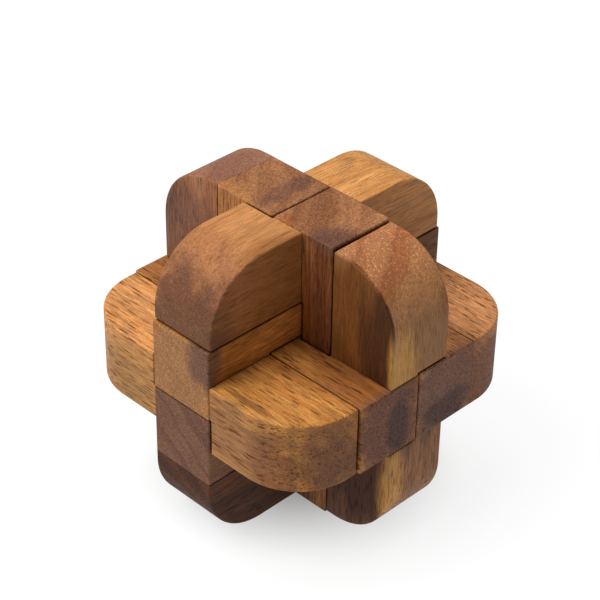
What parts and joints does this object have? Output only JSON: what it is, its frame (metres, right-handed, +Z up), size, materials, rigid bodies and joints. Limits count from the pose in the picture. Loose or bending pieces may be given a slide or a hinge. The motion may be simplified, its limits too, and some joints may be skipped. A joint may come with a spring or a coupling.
{
  "type": "burr puzzle",
  "caption": "Interlocking wooden burr of crossed sticks with rounded corner blocks, forming three crossing discs; the plain key stick slides up and out to free the rest.",
  "frame": {"origin": "centre of the square that the puzzle's box stands on, at the bottom ends of the two upright sticks", "axes": "+X to the right along the cross sticks, +Y to the back along the long sticks, +Z up along the upright sticks"},
  "size_m": [0.081, 0.081, 0.081],
  "materials": {
    "golden_wood": "satin oiled hardwood, golden orange with dark pores",
    "red_heartwood": "satin oiled hardwood, reddish orange-brown",
    "purple_heartwood": "satin oiled hardwood, purple-brown heartwood",
    "figured_wood": "satin oiled hardwood, brown with dark streaks and a yellow sapwood band"
  },
  "bodies": {
    "locked_pieces": {"right_upright_stick": "purple_heartwood", "front_cross_stick": "red_heartwood", "back_cross_stick": "red_heartwood", "upper_long_stick": "golden_wood", "lower_long_stick": "purple_heartwood", "right_top_block": "figured_wood", "left_bottom_block": "purple_heartwood", "right_bottom_block": "figured_wood", "front_top_block": "golden_wood", "front_bottom_block": "purple_heartwood", "back_bottom_block": "red_heartwood", "left_front_block": "golden_wood", "right_front_block": "golden_wood", "left_back_block": "golden_wood", "right_back_block": "red_heartwood"},
    "key_piece": {"left_upright_stick": "purple_heartwood", "left_top_block": "red_heartwood", "back_top_block": "golden_wood"}
  },
  "joints": [
    {"name": "key_slide", "type": "slide", "parent": "locked_pieces", "child": "key_piece", "axis": [0, 0, 1], "range_m": [0, 0.081]}
  ]
}
